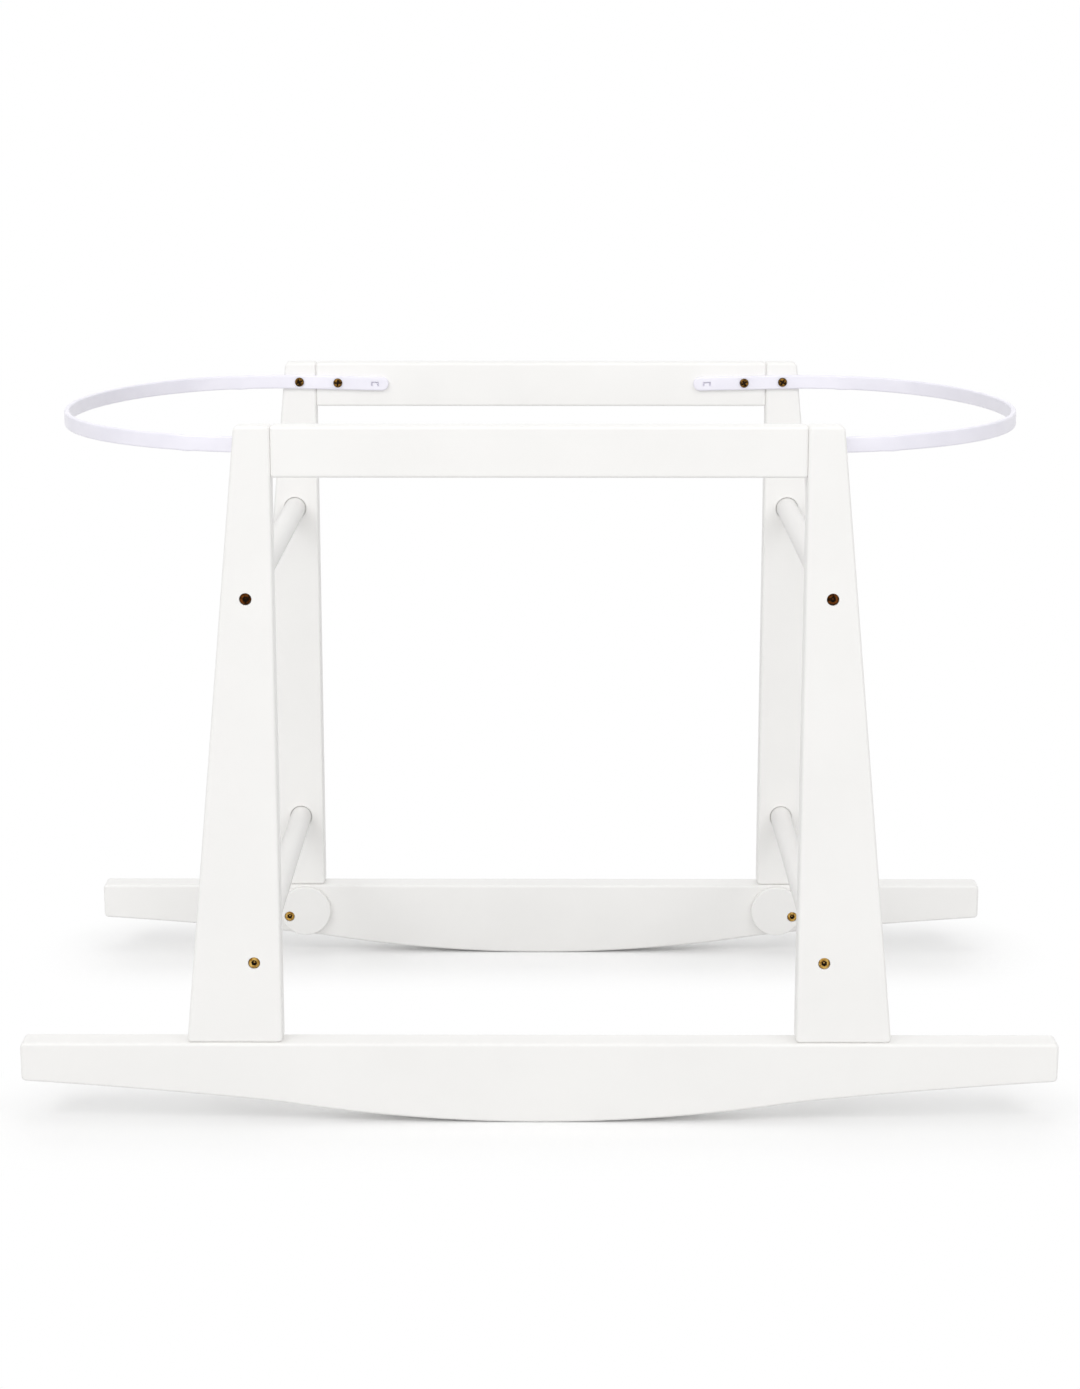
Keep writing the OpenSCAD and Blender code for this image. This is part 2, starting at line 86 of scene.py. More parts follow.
def sprayed_paint(name, stretch):
    """Satin acrylic paint, sprayed over primed beech: an even warm white. The eye sees soft broad highlights,
    faint clouds in the coat, and up close the fine pebble of the spray and a hint of the grain under it."""
    material, tree, paint, place = blank_material(name)
    # Clouds of about 70 mm where the coat is a little thicker
    cloud = add_node(tree, "ShaderNodeTexNoise", {"Scale": 1 / 0.070, "Detail": 3.0}, {"Vector": place})
    tint = add_node(tree, "ShaderNodeValToRGB", {}, {"Fac": cloud.outputs["Fac"]})
    tint.color_ramp.elements[0].position = 0.35
    tint.color_ramp.elements[0].color = linear(PAINT_LOW)
    tint.color_ramp.elements[1].position = 0.65
    tint.color_ramp.elements[1].color = linear(PAINT_HIGH)
    tree.links.new(tint.outputs["Color"], paint.inputs["Base Color"])
    # Sheen differs a little between those clouds
    sheen = add_node(
        tree, "ShaderNodeMapRange", {"To Min": 0.36, "To Max": 0.46}, {"Value": cloud.outputs["Fac"]}
    )
    tree.links.new(sheen.outputs["Result"], paint.inputs["Roughness"])
    # Grain streaks 1.2 mm wide, drawn out along the wood, and spray pebble 1.8 mm apart
    along = add_node(tree, "ShaderNodeMapping", {"Scale": stretch}, {"Vector": place})
    grain = add_node(
        tree, "ShaderNodeTexNoise", {"Scale": 1 / 0.0012, "Detail": 2.0}, {"Vector": along.outputs["Vector"]}
    )
    pebble = add_node(tree, "ShaderNodeTexNoise", {"Scale": 1 / 0.0018, "Detail": 1.0}, {"Vector": place})
    skin = add_node(
        tree,
        "ShaderNodeMath",
        {"operation": "ADD"},
        {0: grain.outputs["Fac"], 1: pebble.outputs["Fac"]},
    )
    bump = add_node(
        tree, "ShaderNodeBump", {"Strength": 0.06, "Distance": 0.0003}, {"Height": skin.outputs["Value"]}
    )
    tree.links.new(bump.outputs["Normal"], paint.inputs["Normal"])
    paint.inputs["IOR"].default_value = 1.49
    return material


def settle(name):
    """Names a new primitive and puts its place into its mesh."""
    piece = bpy.context.object
    piece.name = name
    bpy.ops.object.transform_apply(location=True, rotation=True, scale=True)
    return piece


def block(name, middle, size):
    """A plain block to start a piece or a cut from."""
    bpy.ops.object.select_all(action="DESELECT")
    bpy.ops.mesh.primitive_cube_add(size=1, location=middle, scale=size)
    return settle(name)


def plank(name, node):
    """A plain block as large as a node's box."""
    low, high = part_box(node)
    return block(name, (low + high) / 2, high - low)


def pick(piece):
    """Makes a piece the only selected and the active one."""
    bpy.ops.object.select_all(action="DESELECT")
    piece.select_set(True)
    bpy.context.view_layer.objects.active = piece


def grab(piece, kind, test):
    """Selects, in edit mode, the vertices, edges or faces that pass a test."""
    bpy.ops.mesh.select_mode(type=kind)
    bpy.ops.mesh.select_all(action="DESELECT")
    mesh = bmesh.from_edit_mesh(piece.data)
    mesh.faces.ensure_lookup_table()
    for item in {"VERT": mesh.verts, "EDGE": mesh.edges, "FACE": mesh.faces}[kind]:
        if test(item):
            item.select_set(True)
    bmesh.update_edit_mesh(piece.data)


def ease(piece, size, steps, test):
    """Rounds those edges of a piece that pass a test."""
    pick(piece)
    bpy.ops.object.mode_set(mode="EDIT")
    grab(piece, "EDGE", test)
    bpy.ops.mesh.bevel(offset=size, segments=steps, affect="EDGES")
    bpy.ops.object.mode_set(mode="OBJECT")


def round_corners(piece, test):
    """Rounds those sharp corners of a plank's outline that pass a test."""
    ease(
        piece,
        CORNER_ROUND,
        CORNER_STEPS,
        lambda e: abs(e.verts[0].co.y - e.verts[1].co.y) > CORNER_ROUND
        and e.calc_face_angle() > CORNER_ANGLE
        and test(e.verts[0].co),
    )


def round_over(piece, radius, steps):
    """Rounds every sharp edge of a piece, as a router does."""
    pick(piece)
    bevel = piece.modifiers.new("round_over", "BEVEL")
    bevel.width = radius
    bevel.segments = steps
    bevel.limit_method = "ANGLE"
    bevel.angle_limit = SHARP_ANGLE
    bpy.ops.object.modifier_apply(modifier=bevel.name)


def duplicate(piece):
    """A copy of a piece with its own mesh."""
    copy = piece.copy()
    copy.data = piece.data.copy()
    bpy.context.scene.collection.objects.link(copy)
    return copy


def mirrored(piece, name, flip):
    """A copy on the other side of the stand's middle planes, with its faces outwards."""
    copy = duplicate(piece)
    copy.name = name
    copy.scale = flip
    pick(copy)
    bpy.ops.object.transform_apply(location=True, rotation=True, scale=True)
    bpy.ops.object.mode_set(mode="EDIT")
    bpy.ops.mesh.select_all(action="SELECT")
    bpy.ops.mesh.normals_make_consistent(inside=False)
    bpy.ops.object.mode_set(mode="OBJECT")
    return copy


def complete(piece, material, body, node):
    """Smooths the rounded parts, keeps the flats flat, and puts the piece in a node's place."""
    pick(piece)
    bpy.ops.object.shade_smooth_by_angle(angle=SMOOTH_ANGLE)
    flats = piece.modifiers.new("flats", "WEIGHTED_NORMAL")
    flats.keep_sharp = True
    bpy.ops.object.modifier_apply(modifier=flats.name)
    # Cuts by a tool with no material leave only empty slots
    if not any(piece.data.materials):
        piece.data.materials.clear()
        piece.data.materials.append(material)
    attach(piece, body)
    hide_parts(node)


def belly(x):
    """Height of a rocker's underside above the floor."""
    u = abs(x)
    rise = ROLL_R - math.sqrt(ROLL_R**2 - ROLL_HALF**2)
    slope = ROLL_HALF / (ROLL_R - rise)
    tail = ROCKER_HALF - ROLL_HALF - SHOULDER
    climb = ROCKER_H - ROCKER_END_H - rise - slope * SHOULDER / 2 + tail**2 / (2 * TAIL_R)
    tail_slope = climb / (SHOULDER / 2 + tail)
    if u < ROLL_HALF:
        return ROLL_R - math.sqrt(ROLL_R**2 - u**2)
    v = u - ROLL_HALF
    if v < SHOULDER:
        return rise + slope * v - (slope - tail_slope) * v**2 / (2 * SHOULDER)
    w = v - SHOULDER
    return rise + (slope + tail_slope) * SHOULDER / 2 + tail_slope * w - w**2 / (2 * TAIL_R)


paint_along_x = sprayed_paint("satin_white_paint_long_boards", (GRAIN_DRAW, 1.0, 1.0))
front_rocker = plank("front_rocker_board", "front_rocker")
bpy.ops.object.mode_set(mode="EDIT")
grab(front_rocker, "EDGE", lambda e: abs(e.verts[0].co.x - e.verts[1].co.x) > ROCKER_HALF)
bpy.ops.mesh.subdivide(number_cuts=ROCKER_CUTS)
stations = sorted({round(v.co.x, 6) for v in bmesh.from_edit_mesh(front_rocker.data).verts})
for station in stations:
    grab(front_rocker, "VERT", lambda v: abs(v.co.x - station) < NEAR and v.co.z < ROCKER_END_H / 2)
    bpy.ops.transform.translate(value=(0, 0, belly(station)))
bpy.ops.object.mode_set(mode="OBJECT")
round_corners(front_rocker, lambda corner: abs(corner.x) > ROCKER_HALF - CORNER_ROUND)
round_over(front_rocker, EDGE_ROUND, EDGE_STEPS)
back_rocker = mirrored(front_rocker, "back_rocker_board", (1, -1, 1))
complete(front_rocker, paint_along_x, "stand", "front_rocker")
complete(back_rocker, paint_along_x, "stand", "back_rocker")

# Legs: four tapered boards of the same painted beech, glued and pinned down on the rockers. The inner edge is
# upright and the outer edge slopes. Bolt heads sink into the outer face, and crossbars sit in shallow seats
# in the inner face, with a fine groove round each.
LEG_X, LEG_TOP_W, LEG_FOOT_W = 0.1915, 0.026, 0.0715
BAR_X, UPPER_BAR_Z, LOWER_BAR_Z = 0.2115, 0.400, 0.125
BOARD_OUT_Y, BOARD_IN_Y = 0.211, 0.193
BAR_R, BAR_SEAT, SEAT_GAP = 0.009, 0.004, 0.00005
HEAD_R, HEAD_H, HEAD_SINK, HEAD_ROOM = 0.0042, 0.0034, 0.0005, 0.0003
RIM_W, RIM_DEPTH = 0.0007, 0.0020
ALONG_Y = (math.pi / 2, 0, 0)
OTHER_CORNERS = (("back_left", (-1, 1, 1)), ("front_right", (1, -1, 1)), ("front_left", (-1, -1, 1)))


def rod(name, place, radius, depth, turn=ALONG_Y, sides=64):
    """A plain rod along Y, or turned, to start a piece or a cut from."""
    bpy.ops.object.select_all(action="DESELECT")
    bpy.ops.mesh.primitive_cylinder_add(
        vertices=sides, radius=radius, depth=depth, location=place, rotation=turn
    )
    return settle(name)


def cut(piece, tool):
    """Takes a tool's shape and finish out of a piece and puts the tool away."""
    pick(piece)
    hole = piece.modifiers.new("cut", "BOOLEAN")
    hole.operation = "DIFFERENCE"
    hole.solver = "EXACT"
    hole.material_mode = "TRANSFER"
    hole.object = tool
    bpy.ops.object.modifier_apply(modifier=hole.name)
    bpy.data.objects.remove(tool)


paint_upright = sprayed_paint("satin_white_paint_upright_boards", (1.0, 1.0, GRAIN_DRAW))
back_right_leg = plank("back_right_leg_board", "back_right_leg")
leg_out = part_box("back_right_leg")[1].x
bpy.ops.object.mode_set(mode="EDIT")
grab(back_right_leg, "VERT", lambda v: v.co.x > BAR_X and v.co.z > UPPER_BAR_Z)
bpy.ops.transform.translate(value=(LEG_X + LEG_TOP_W - leg_out, 0, 0))
grab(back_right_leg, "VERT", lambda v: v.co.x > BAR_X and v.co.z < LOWER_BAR_Z)
bpy.ops.transform.translate(value=(LEG_X + LEG_FOOT_W - leg_out, 0, 0))
bpy.ops.object.mode_set(mode="OBJECT")
round_corners(back_right_leg, lambda corner: corner.z < LOWER_BAR_Z or corner.x > BAR_X)
round_over(back_right_leg, EDGE_ROUND, EDGE_STEPS)
for bar_z in (UPPER_BAR_Z, LOWER_BAR_Z):
    recess = HEAD_SINK + HEAD_H
    cut(back_right_leg, rod("recess", (BAR_X, BOARD_OUT_Y, bar_z), HEAD_R + HEAD_ROOM, 2 * recess))
    cut(back_right_leg, rod("rim", (BAR_X, BOARD_IN_Y, bar_z), BAR_R + RIM_W, 2 * RIM_DEPTH))
    cut(back_right_leg, rod("seat", (BAR_X, BOARD_IN_Y, bar_z), BAR_R + SEAT_GAP, 2 * BAR_SEAT))
for corner, flip in OTHER_CORNERS:
    leg = mirrored(back_right_leg, corner + "_leg_board", flip)
    complete(leg, paint_upright, "stand", corner + "_leg")
complete(back_right_leg, paint_upright, "stand", "back_right_leg")

# Rails: two plain boards of painted beech between the tops of the legs, glued and pinned end to edge. Rail
# ends and leg edges are both rounded, so a fine groove shows at each joint.
front_rail = plank("front_rail_board", "front_rail")
round_over(front_rail, EDGE_ROUND, EDGE_STEPS)
back_rail = mirrored(front_rail, "back_rail_board", (1, -1, 1))
complete(front_rail, paint_along_x, "stand", "front_rail")
complete(back_rail, paint_along_x, "stand", "back_rail")

# Crossbars: four beech dowels, painted like the boards, that hold the two frames apart. Their ends, eased
# round the rim, sit in shallow seats in the legs, and the bolts draw them tight.
BAR_END_Y = BOARD_IN_Y + BAR_SEAT
BAR_SIDES, BAR_EASE, BAR_EASE_STEPS = 96, 0.0008, 3
paint_across = sprayed_paint("satin_white_paint_dowels", (1.0, GRAIN_DRAW, 1.0))
for height, bar_z in (("upper", UPPER_BAR_Z), ("lower", LOWER_BAR_Z)):
    right_bar = rod(height + "_right_dowel", (BAR_X, 0, bar_z), BAR_R, 2 * BAR_END_Y, sides=BAR_SIDES)
    ease(right_bar, BAR_EASE, BAR_EASE_STEPS, lambda e: all(abs(v.co.y) > BOARD_IN_Y for v in e.verts))
    left_bar = mirrored(right_bar, height + "_left_dowel", (-1, 1, 1))
    complete(right_bar, paint_across, "stand", height + "_right_crossbar")
    complete(left_bar, paint_across, "stand", height + "_left_crossbar")

# Leg bolts: turned steel bolts with a flat round head and a hexagon socket, sunk in the legs and screwed into
# the crossbars. The upper ones are plated dark bronze, the lower ones brass.
SHANK_R, BOLT_LEN, HEAD_EASE, HEAD_EASE_STEPS = 0.003, 0.028, 0.0005, 3
# The last is how far the painted shade in a socket reaches in across its floor from the wall
SOCKET_R, SOCKET_DEPTH, SOCKET_SHADE = 0.0023, 0.0020, 0.0014
# Each socket stopped at a turn of its own
BOLT_TURN, BOLT_TURN_STEP = 0.3, 0.9
UPRIGHT = (0, 0, 0)
LEVEL, SAME = 0.9, 1e-6


def plated_metal(name, dark, light, low, high):
    """Electroplated steel. The eye sees a tinted mirror, blurred by fine turning marks, with darker and
    lighter patches at random: partly thin or handled plating, partly painted reflection of a darker room."""
    material, tree, metal, place = blank_material(name)
    metal.inputs["Metallic"].default_value = 1.0
    # Patches of about 2.5 mm: uneven plating, and painted reflection of a darker room in the metal
    plating_patch_and_painted_reflection = add_node(tree, "ShaderNodeTexNoise", {"Scale": 1 / 0.0025, "Detail": 3.0}, {"Vector": place})
    tint = add_node(tree, "ShaderNodeValToRGB", {}, {"Fac": plating_patch_and_painted_reflection.outputs["Fac"]})
    tint.color_ramp.elements[0].position = 0.38
    tint.color_ramp.elements[0].color = linear(dark)
    tint.color_ramp.elements[1].position = 0.64
    tint.color_ramp.elements[1].color = linear(light)
    tree.links.new(tint.outputs["Color"], metal.inputs["Base Color"])
    # Turning marks, drawn 0.25 mm apart so that they still show
    mark = add_node(tree, "ShaderNodeTexNoise", {"Scale": 1 / 0.00025, "Detail": 1.0}, {"Vector": place})
    gloss = add_node(
        tree, "ShaderNodeMapRange", {"To Min": low, "To Max": high}, {"Value": mark.outputs["Fac"]}
    )
    tree.links.new(gloss.outputs["Result"], metal.inputs["Roughness"])
    bump = add_node(
        tree, "ShaderNodeBump", {"Strength": 0.15, "Distance": 0.00005}, {"Height": mark.outputs["Fac"]}
    )
    tree.links.new(bump.outputs["Normal"], metal.inputs["Normal"])
    return material


def unplated_steel_and_painted_shade(name):
    """Steel in sockets and recesses, where no plating or polish reaches, and painted shade for the shade
    that falls in them. The eye sees a dull brown black with a few paler specks."""
    material, tree, steel, place = blank_material(name)
    steel.inputs["Roughness"].default_value = 0.7
    steel.inputs["Specular IOR Level"].default_value = 0.1
    # Specks of about 0.5 mm
    speck = add_node(tree, "ShaderNodeTexNoise", {"Scale": 1 / 0.0005, "Detail": 2.0}, {"Vector": place})
    tint = add_node(tree, "ShaderNodeValToRGB", {}, {"Fac": speck.outputs["Fac"]})
    tint.color_ramp.elements[0].color = linear("#100A05")
    tint.color_ramp.elements[1].color = linear("#2E1E10")
    tree.links.new(tint.outputs["Color"], steel.inputs["Base Color"])
    return material


def socket_bolt(name, head_h, length, plating):
    """A bolt at the origin, its head upward and its seat at zero."""
    piece = rod(name, (0, 0, head_h / 2), HEAD_R, head_h, UPRIGHT)
    piece.data.materials.append(plating)
    bpy.ops.object.mode_set(mode="EDIT")
    grab(piece, "FACE", lambda f: f.normal.z < -LEVEL)
    bpy.ops.mesh.inset(thickness=HEAD_R - SHANK_R)
    bpy.ops.mesh.extrude_region_move(TRANSFORM_OT_translate={"value": (0, 0, -length)})
    bpy.ops.object.mode_set(mode="OBJECT")
    ease(piece, HEAD_EASE, HEAD_EASE_STEPS, lambda e: all(v.co.z > head_h - SAME for v in e.verts))
    # The socket is cut with the dark steel: bare steel in it, and painted shade where shade falls inside
    socket = rod("socket", (0, 0, head_h), SOCKET_R, 2 * SOCKET_DEPTH, UPRIGHT, sides=6)
    socket.data.materials.append(dark_steel_and_shade)
    cut(piece, socket)
    # The dark steel and painted shade stop short of the middle of the socket's floor, where plating shows
    bpy.ops.object.mode_set(mode="EDIT")
    grab(piece, "FACE", lambda f: f.material_index == 1 and f.normal.z > LEVEL)
    bpy.ops.mesh.inset(thickness=SOCKET_SHADE)
    piece.active_material_index = 0
    bpy.ops.object.material_slot_assign()
    bpy.ops.object.mode_set(mode="OBJECT")
    return piece


def set_in(piece, name, places):
    """Copies of a fastener, each at a place with a facing and a turn of its own, as one mesh."""
    copies = []
    for place, facing, turn in places:
        copy = duplicate(piece)
        lean = Vector(facing).to_track_quat("Z", "Y").to_matrix().to_4x4()
        copy.data.transform(Matrix.Translation(place) @ lean @ Matrix.Rotation(turn, 4, "Z"))
        copies.append(copy)
    pick(copies[0])
    for copy in copies:
        copy.select_set(True)
    bpy.ops.object.join()
    copies[0].name = name
    return copies[0]


SIDES = [(x, y) for x in (-1, 1) for y in (-1, 1)]
BOLT_SEAT_Y = BOARD_OUT_Y - HEAD_SINK - HEAD_H
dark_steel_and_shade = unplated_steel_and_painted_shade("unplated_steel_and_painted_shade")
bronze = plated_metal("dark_bronze_plated_steel", "#1E1006", "#6A3C18", 0.24, 0.42)
brass = plated_metal("brass_plated_steel", "#8A6226", "#D8B264", 0.22, 0.38)
for height, bar_z, metal, slot in (
    ("upper", UPPER_BAR_Z, bronze, "bronze_plating"),
    ("lower", LOWER_BAR_Z, brass, "brass_plating"),
):
    places = [
        ((x * BAR_X, y * BOLT_SEAT_Y, bar_z), (0, y, 0), BOLT_TURN + BOLT_TURN_STEP * i)
        for i, (x, y) in enumerate(SIDES)
    ]
    bolt = socket_bolt("bolt", HEAD_H, BOLT_LEN, metal)
    bolts = set_in(bolt, height + "_leg_bolts", places)
    bpy.data.objects.remove(bolt)
    complete(bolts, metal, "stand", height + "_bolts")

# Stops: four turned beech discs, painted white, on the inner faces of the rockers. Each hangs on an
# off-centre screw and turns down to the floor to stop the rocking. The screws are brass plated and go into
# inserts in the rockers.
STOP_R, STOP_T, STOP_THROW, STOP_SIDES = 0.022, 0.006, 0.015, 128
STOP_RIM, STOP_RIM_STEPS = 0.0010, 5
STOP_SCREW_X, STOP_SCREW_Z, STOP_FACE_Y = 0.2227, 0.0354, 0.1847
STOP_HEAD_H, STOP_SCREW_LEN, STOP_ROOM, TURN_GAP = 0.0026, 0.015, 0.0003, 0.00006
STOP_ANGLE = math.radians(18.5)
STOP_TURN, STOP_TURN_STEP = 0.5, 0.7
# Grain streaks are drawn out to about 40 mm on the discs
DISC_GRAIN_DRAW = 0.03
stop_place = (
    STOP_SCREW_X - STOP_THROW * math.cos(STOP_ANGLE),
    STOP_FACE_Y + STOP_T / 2,
    STOP_SCREW_Z + STOP_THROW * math.sin(STOP_ANGLE),
)
back_right_stop = rod("back_right_stop_disc", stop_place, STOP_R, STOP_T, sides=STOP_SIDES)
ease(
    back_right_stop,
    STOP_RIM,
    STOP_RIM_STEPS,
    lambda e: abs(e.verts[0].co.y - e.verts[1].co.y) < SAME,
)
screw_place = (STOP_SCREW_X, STOP_FACE_Y, STOP_SCREW_Z)
stop_recess = HEAD_SINK + STOP_HEAD_H + STOP_ROOM
cut(back_right_stop, rod("recess", screw_place, HEAD_R + HEAD_ROOM, 2 * stop_recess))
cut(back_right_stop, rod("bore", screw_place, SHANK_R + TURN_GAP, 4 * STOP_T))
paint_across_disc = sprayed_paint("satin_white_paint_discs", (DISC_GRAIN_DRAW, 1.0, 1.0))
for corner, flip in OTHER_CORNERS:
    name = corner + "_stop"
    disc = mirrored(back_right_stop, name + "_disc", flip)
    complete(disc, paint_across_disc, name, name)
complete(back_right_stop, paint_across_disc, "back_right_stop", "back_right_stop")
stop_seat_y = STOP_FACE_Y + HEAD_SINK + STOP_HEAD_H
places = [
    ((x * STOP_SCREW_X, y * stop_seat_y, STOP_SCREW_Z), (0, -y, 0), STOP_TURN + STOP_TURN_STEP * i)
    for i, (x, y) in enumerate(SIDES)
]
stop_screw = socket_bolt("screw", STOP_HEAD_H, STOP_SCREW_LEN, brass)
stop_screws = set_in(stop_screw, "stop_pivot_screws", places)
bpy.data.objects.remove(stop_screw)
complete(stop_screws, brass, "stand", "stop_screws")

# Hoops: two straps of white nylon, bent hot into half ovals that reach past the ends of the stand and steady
# the basket. Each tip is round, with a small moulded pocket, and is held by two screws on the inner faces.
HOOP_H, HOOP_T, HOOP_REACH, HOOP_SEAT = 0.0116, 0.004, 0.062, 0.0165
HOOP_HALF, HOOP_Z, HOOP_RISE, HOOP_SAG = 0.370, 0.5088, math.radians(1.3), 0.0042
HOOP_BEND_STEPS, HOOP_ROUND, HOOP_ROUND_STEPS = 64, 0.0014, 4
# The round of a tip takes nearly half of the strap's height at each corner
TIP_SHARE, TIP_STEPS = 0.49, 8
POCKET_REACH, POCKET_L, POCKET_H, POCKET_DEPTH, SLOT_W = 0.0115, 0.0065, 0.0036, 0.0024, 0.0012


def bent_nylon(name):
    """Nylon 6, extruded and bent hot: a cool, faintly violet white. The eye sees a smooth skin with soft
    highlights and very faint draw lines along the strap."""
    material, tree, nylon, place = blank_material(name)
    # Clouds of about 40 mm in the colour
    cloud = add_node(tree, "ShaderNodeTexNoise", {"Scale": 1 / 0.040, "Detail": 2.0}, {"Vector": place})
    tint = add_node(tree, "ShaderNodeValToRGB", {}, {"Fac": cloud.outputs["Fac"]})
    tint.color_ramp.elements[0].position = 0.35
    tint.color_ramp.elements[0].color = linear("#F1EFF9")
    tint.color_ramp.elements[1].position = 0.65
    tint.color_ramp.elements[1].color = linear("#F8F6FF")
    tree.links.new(tint.outputs["Color"], nylon.inputs["Base Color"])
    # Draw lines 0.8 mm apart up the strap's face
    along = add_node(tree, "ShaderNodeMapping", {"Scale": (0.02, 0.02, 1.0)}, {"Vector": place})
    line = add_node(
        tree, "ShaderNodeTexNoise", {"Scale": 1 / 0.0008, "Detail": 1.0}, {"Vector": along.outputs["Vector"]}
    )
    gloss = add_node(
        tree, "ShaderNodeMapRange", {"To Min": 0.26, "To Max": 0.36}, {"Value": line.outputs["Fac"]}
    )
    tree.links.new(gloss.outputs["Result"], nylon.inputs["Roughness"])
    bump = add_node(
        tree, "ShaderNodeBump", {"Strength": 0.08, "Distance": 0.0001}, {"Height": line.outputs["Fac"]}
    )
    tree.links.new(bump.outputs["Normal"], nylon.inputs["Normal"])
    nylon.inputs["IOR"].default_value = 1.53
    return material


hoop_y = BOARD_IN_Y - HOOP_T / 2
bend_x = LEG_X + HOOP_SEAT
bend_half = HOOP_HALF - HOOP_T / 2 - bend_x
bpy.ops.object.select_all(action="DESELECT")
bpy.ops.mesh.primitive_plane_add(size=HOOP_H, location=(bend_x, hoop_y, HOOP_Z), rotation=ALONG_Y)
right_hoop = settle("right_hoop_strap")
bpy.ops.object.mode_set(mode="EDIT")
grab(right_hoop, "VERT", lambda v: v.co.x > bend_x)
bpy.ops.mesh.delete(type="VERT")
bpy.ops.mesh.select_all(action="SELECT")
bpy.ops.transform.translate(value=(HOOP_H / 2, 0, 0))
bpy.ops.mesh.spin(steps=HOOP_BEND_STEPS, angle=math.pi, center=(bend_x, 0, HOOP_Z), axis=(0, 0, 1))
bpy.ops.mesh.select_all(action="SELECT")
bpy.ops.transform.resize(value=(bend_half / hoop_y, 1, 1), center_override=(bend_x, 0, HOOP_Z))
for side in (-1, 1):
    grab(right_hoop, "EDGE", lambda e: all(side * v.co.y > hoop_y - NEAR for v in e.verts))
    bpy.ops.mesh.extrude_region_move(
        TRANSFORM_OT_translate={"value": (-HOOP_SEAT - HOOP_REACH, 0, 0)}
    )
    grab(right_hoop, "VERT", lambda v: v.co.x < LEG_X - HOOP_REACH / 2 and side * v.co.y > 0)
    bpy.ops.mesh.bevel(offset=HOOP_H * TIP_SHARE, segments=TIP_STEPS, affect="VERTICES")
# The strap sags more and more past the leg
stations = {round(v.co.x, 6) for v in bmesh.from_edit_mesh(right_hoop.data).verts if v.co.x > LEG_X}
for station in stations:
    grab(right_hoop, "VERT", lambda v: abs(v.co.x - station) < SAME)
    free = (station - LEG_X) / (HOOP_HALF - LEG_X)
    bpy.ops.transform.translate(value=(0, 0, -HOOP_SAG * free**2))
bpy.ops.object.mode_set(mode="OBJECT")
wall = right_hoop.modifiers.new("wall", "SOLIDIFY")
wall.thickness = HOOP_T
wall.offset = 0
wall.use_even_offset = True
bpy.ops.object.modifier_apply(modifier=wall.name)
round_over(right_hoop, HOOP_ROUND, HOOP_ROUND_STEPS)
for side in (-1, 1):
    pocket_place = (LEG_X - HOOP_REACH + POCKET_REACH, side * (hoop_y - HOOP_T / 2), HOOP_Z)
    pocket = block("pocket", pocket_place, (POCKET_L, 2 * POCKET_DEPTH, POCKET_H))
    tongue_place = (pocket_place[0], pocket_place[1], pocket_place[2] - SLOT_W)
    cut(pocket, block("tongue", tongue_place, (POCKET_L - 2 * SLOT_W, 4 * POCKET_DEPTH, POCKET_H)))
    cut(right_hoop, pocket)
slope = Matrix.Translation((LEG_X, 0, HOOP_Z)) @ Matrix.Rotation(-HOOP_RISE, 4, "Y")
right_hoop.data.transform(slope @ Matrix.Translation((-LEG_X, 0, -HOOP_Z)))
left_hoop = mirrored(right_hoop, "left_hoop_strap", (-1, 1, 1))
nylon = bent_nylon("bent_white_nylon")
complete(right_hoop, nylon, "stand", "right_hoop")
complete(left_hoop, nylon, "stand", "left_hoop")

# Hoop screws: eight antique-brass wood screws with low domed heads and a cross recess. They go through the
# hoop ends into leg and rail, one on each side of the joint.
DOME_R, DOME_H, DOME_SIDES, DOME_SHARE, DOME_STEPS = 0.0038, 0.0019, 48, 0.7, 6
SCREW_R, SCREW_LEN, POINT_SHARE = 0.00175, 0.015, 0.3
CROSS_L, CROSS_W, CROSS_DEPTH = 0.0056, 0.0013, 0.0013
# Along the strap from the leg's inner edge, outwards into the leg and inwards into the rail
SCREW_PLACES = (0.0137, -0.0189)
SCREW_TURN, SCREW_TURN_STEP = 0.4, 1.1
STEEP = 0.4
antique = plated_metal("antique_brass_plated_steel", "#2E1C0A", "#8E6830", 0.25, 0.42)
hoop_screw = rod("hoop_screw", (0, 0, DOME_H / 2), DOME_R, DOME_H, UPRIGHT, sides=DOME_SIDES)
hoop_screw.data.materials.append(antique)
hoop_screw.data.materials.append(dark_steel_and_shade)
bpy.ops.object.mode_set(mode="EDIT")
grab(hoop_screw, "FACE", lambda f: f.normal.z < -LEVEL)
bpy.ops.mesh.inset(thickness=DOME_R - SCREW_R)
bpy.ops.mesh.extrude_region_move(TRANSFORM_OT_translate={"value": (0, 0, -SCREW_LEN)})
bpy.ops.transform.resize(value=(POINT_SHARE, POINT_SHARE, 1))
bpy.ops.object.mode_set(mode="OBJECT")
ease(
    hoop_screw,
    DOME_H * DOME_SHARE,
    DOME_STEPS,
    lambda e: all(v.co.z > DOME_H - SAME for v in e.verts),
)
# The side of the head and the shank get the dark steel: partly the dark lacquer of an antique finish, partly
# painted shade round the head's rim
bpy.ops.object.mode_set(mode="EDIT")
grab(hoop_screw, "FACE", lambda f: abs(f.normal.z) < STEEP)
hoop_screw.active_material_index = 1
bpy.ops.object.material_slot_assign()
bpy.ops.object.mode_set(mode="OBJECT")
